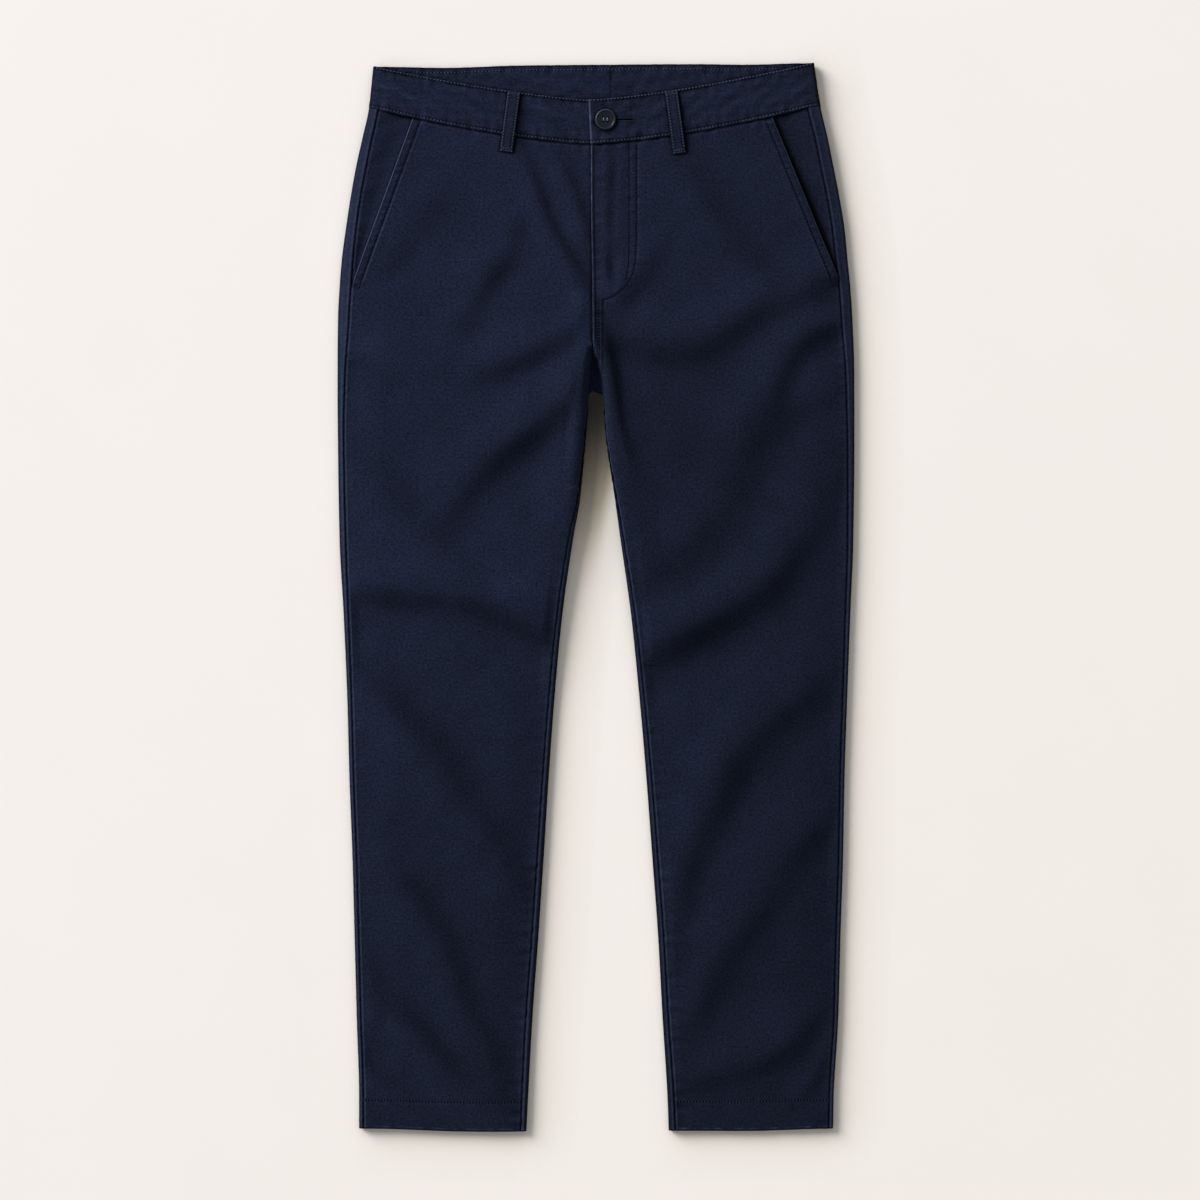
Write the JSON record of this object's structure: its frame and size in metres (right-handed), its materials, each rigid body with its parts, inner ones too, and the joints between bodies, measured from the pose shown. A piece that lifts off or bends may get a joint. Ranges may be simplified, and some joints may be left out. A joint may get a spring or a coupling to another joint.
{
  "type": "chino trousers",
  "caption": "Chino trousers laid flat, front up: slim tapering legs, waistband with belt loops and a button, fly, slant pockets, turned-up hems.",
  "frame": {"origin": "on the table, under the middle of the garment's bounding box", "axes": "+X towards the wearer's left, +Y up the trousers to the waist, +Z away from the table, out of the front"},
  "size_m": [0.4979, 1.0299, 0.0138],
  "materials": {
    "twill": "matt cotton twill",
    "button": "satin"
  },
  "bodies": {
    "root": {"front_left": "twill", "front_right": "twill", "back_left": "twill", "back_right": "twill", "waistband_left": "twill", "waistband_right": "twill", "pocket_facing_left": "twill", "pocket_facing_right": "twill", "hem_left": "twill", "hem_right": "twill", "loop_front_left": "twill", "loop_front_right": "twill", "loop_back_left": "twill", "loop_back_centre": "twill", "loop_back_right": "twill", "button": "button"}
  },
  "joints": []
}
